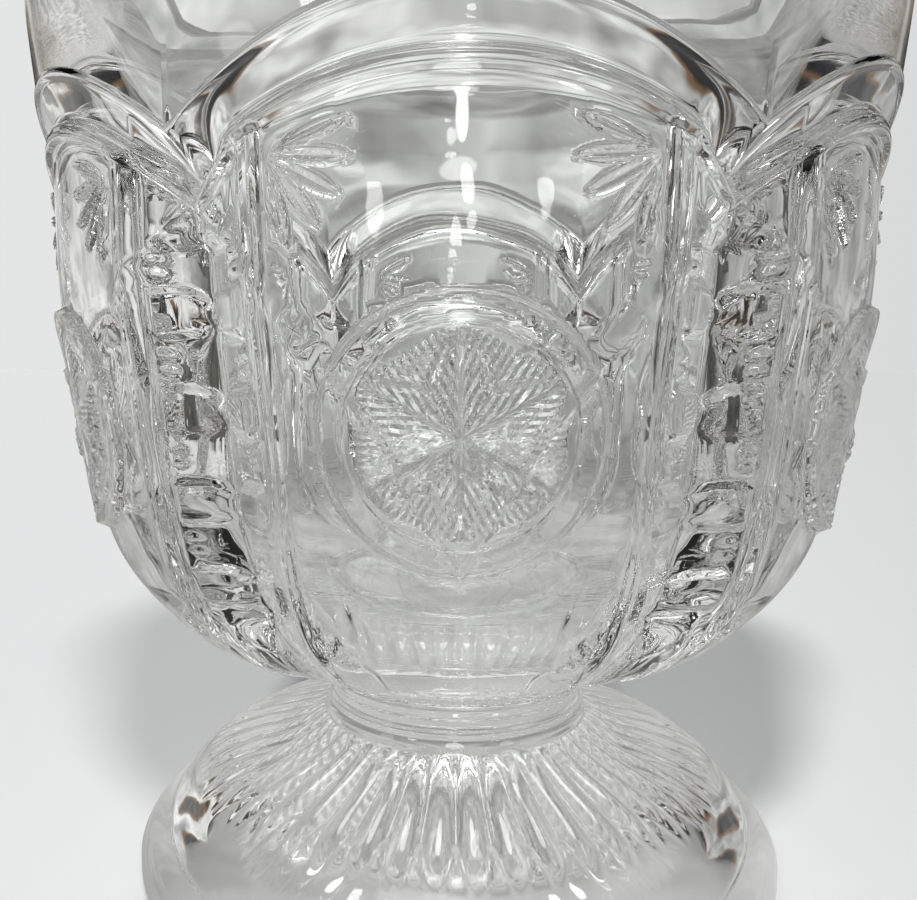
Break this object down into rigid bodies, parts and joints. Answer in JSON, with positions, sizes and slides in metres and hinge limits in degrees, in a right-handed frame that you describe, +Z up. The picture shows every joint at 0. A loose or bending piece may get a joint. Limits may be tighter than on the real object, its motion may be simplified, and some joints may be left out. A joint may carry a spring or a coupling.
{
  "type": "pressed glass sugar bowl without lid",
  "caption": "Round footed sugar bowl in clear pressed glass, with arched panels, star medallions, fan corners, scalloped grooves and a rayed foot.",
  "frame": {"origin": "middle of the foot, on the surface it stands on", "axes": "+Z up along the bowl's axis; -Y out of the panel that faces the viewer; +X to the viewer's right"},
  "size_m": [0.11, 0.11, 0.12],
  "materials": {
    "clear_glass": "fire-polished clear pressed glass, colourless, glossy"
  },
  "bodies": {
    "root": {"bowl": "clear_glass", "collar": "clear_glass", "foot": "clear_glass"}
  },
  "joints": []
}
